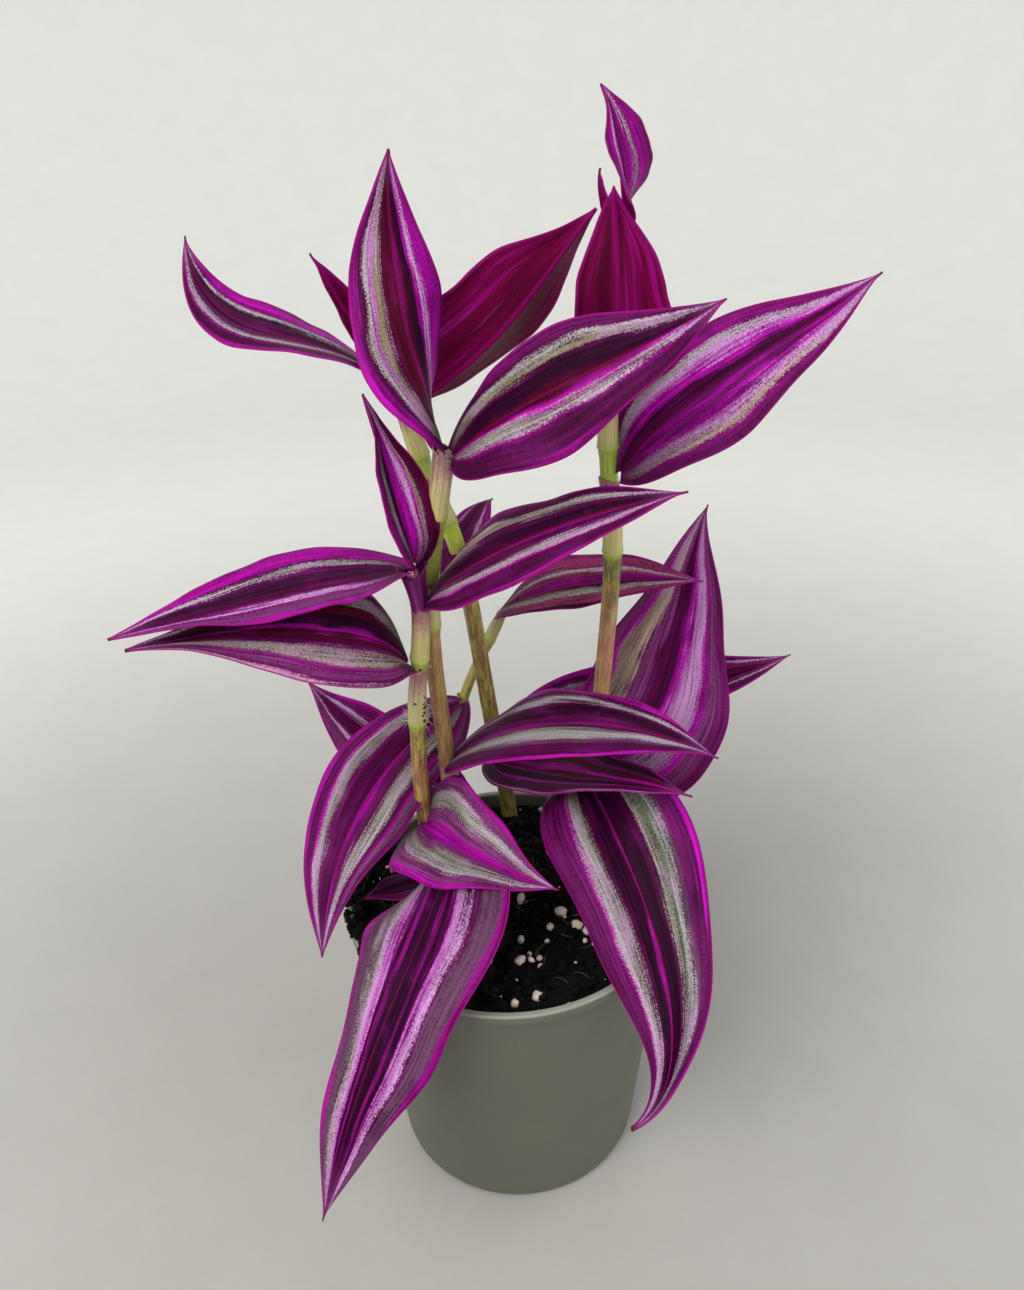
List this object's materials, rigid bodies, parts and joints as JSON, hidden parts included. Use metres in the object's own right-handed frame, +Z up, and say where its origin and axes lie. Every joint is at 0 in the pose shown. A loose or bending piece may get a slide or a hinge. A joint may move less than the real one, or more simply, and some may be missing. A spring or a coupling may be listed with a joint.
{
  "type": "potted tradescantia",
  "caption": "Young purple-striped tradescantia with upright stems and long pointed leaves, growing in a small round tapered nursery pot of soil.",
  "frame": {"origin": "centre of the flat underside of the pot's foot", "axes": "+Z up through the pot, +X to the right and +Y to the back as the plant is seen from the front"},
  "size_m": [0.1875, 0.1412, 0.3131],
  "materials": {
    "pot_plastic": "smooth satin grey-green",
    "potting_soil": "moist crumbly peat with pale perlite grains",
    "stem": "satin juicy stem with pale papery sheaths",
    "leaf": "satin purple blade with silver-green stripes"
  },
  "bodies": {
    "root": {"pot": "pot_plastic", "soil": "potting_soil", "stem_a_front_left": "stem", "stem_b_front_middle": "stem", "stem_c_back_middle": "stem", "stem_d_right": "stem", "stem_e_back_thin": "stem", "leaf_a_top_up": "leaf", "leaf_a_left_upper": "leaf", "leaf_a_left_lower": "leaf", "leaf_a_mid_right": "leaf", "leaf_a_low_front": "leaf", "leaf_a_low_left": "leaf", "leaf_a_low_under": "leaf", "leaf_b_top_up": "leaf", "leaf_b_top_right": "leaf", "leaf_b_back_up": "leaf", "leaf_b_low_right": "leaf", "leaf_c_top_left": "leaf", "leaf_c_top_young": "leaf", "leaf_c_top_right": "leaf", "leaf_c_low_right": "leaf", "leaf_c_low_back": "leaf", "leaf_d_top_tip": "leaf", "leaf_d_top_roll": "leaf", "leaf_d_upper_up": "leaf", "leaf_d_mid_right": "leaf", "leaf_d_low_up": "leaf", "leaf_d_low_front": "leaf", "leaf_e_top_right": "leaf", "leaf_e_left_front": "leaf", "leaf_e_low_left": "leaf"}
  },
  "joints": []
}
